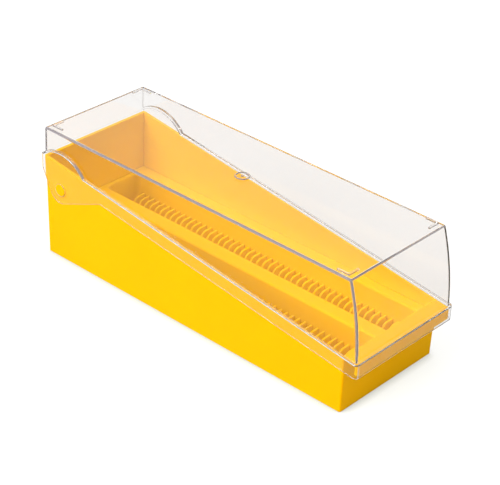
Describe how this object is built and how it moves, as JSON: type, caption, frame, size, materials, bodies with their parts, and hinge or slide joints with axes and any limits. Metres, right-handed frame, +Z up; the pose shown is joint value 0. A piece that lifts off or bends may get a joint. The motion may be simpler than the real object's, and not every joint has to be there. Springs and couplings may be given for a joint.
{
  "type": "microscope slide file box",
  "caption": "Long sloped-rim file box for upright microscope slides, with a drop-in rack and a hinged clear lid.",
  "frame": {"origin": "middle of the footprint of the whole box, on the surface that it stands on", "axes": "+X from the hinge end to the low front end, +Z up, +Y to the far side"},
  "size_m": [0.2476, 0.0864, 0.0867],
  "materials": {
    "yellow_plastic": "satin",
    "clear_plastic": "polished"
  },
  "bodies": {
    "base": {"base_shell": "yellow_plastic", "slide_rack": "yellow_plastic", "far_hinge_pin": "yellow_plastic", "near_hinge_pin": "yellow_plastic"},
    "lid": {"lid": "clear_plastic"}
  },
  "joints": [
    {"name": "lid_hinge", "type": "hinge", "parent": "base", "child": "lid", "pos_m": [-0.10855, 0, 0.0488], "axis": [0, -1, 0], "range_deg": [0, 100]}
  ]
}
